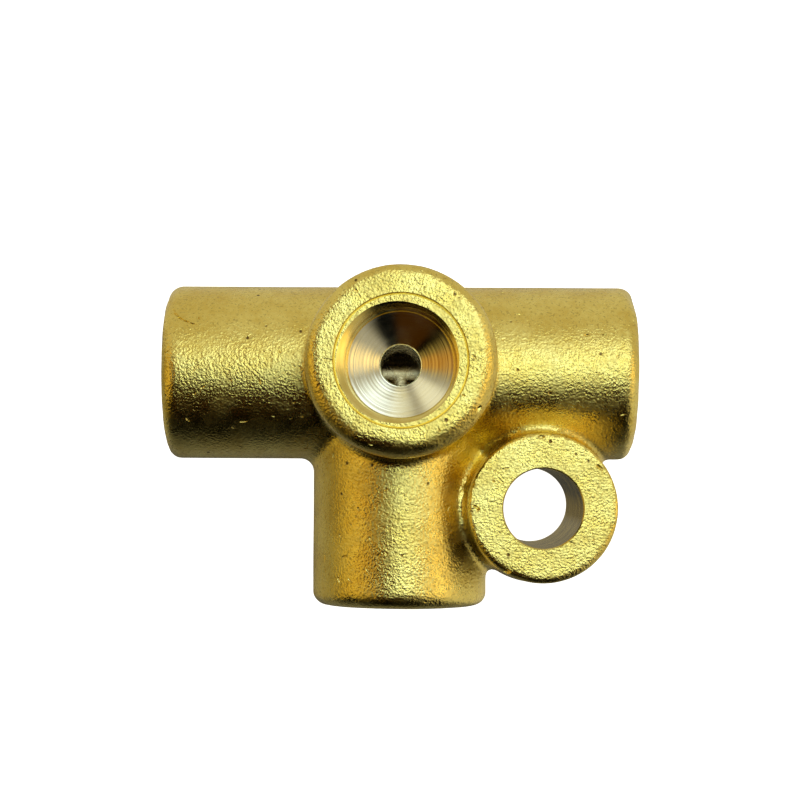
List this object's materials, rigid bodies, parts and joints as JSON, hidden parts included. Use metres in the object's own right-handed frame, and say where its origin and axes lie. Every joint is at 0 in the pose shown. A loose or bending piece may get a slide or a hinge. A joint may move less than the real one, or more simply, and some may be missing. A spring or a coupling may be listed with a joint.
{
  "type": "brake pipe connector",
  "caption": "Forged brass pipe connector with three arms in one plane, a front boss square to them, a threaded port with a conical seat in each, and an offset mounting eye.",
  "frame": {"origin": "centre of the mounting hole on the eye's back face, the face that bolts to the vehicle", "axes": "+X along the through arms, towards the arm beside the eye; +Y away from the lower arm; +Z along the mounting bolt and out of the front port"},
  "size_m": [0.04, 0.0275, 0.0275],
  "materials": {
    "forged_brass": "shot-blasted forging with machined ports",
    "turned_brass": "bright turned, with concentric tool marks"
  },
  "bodies": {
    "root": {"body": "forged_brass", "left_seat": "turned_brass", "right_seat": "turned_brass", "lower_seat": "turned_brass", "front_seat": "turned_brass"}
  },
  "joints": []
}
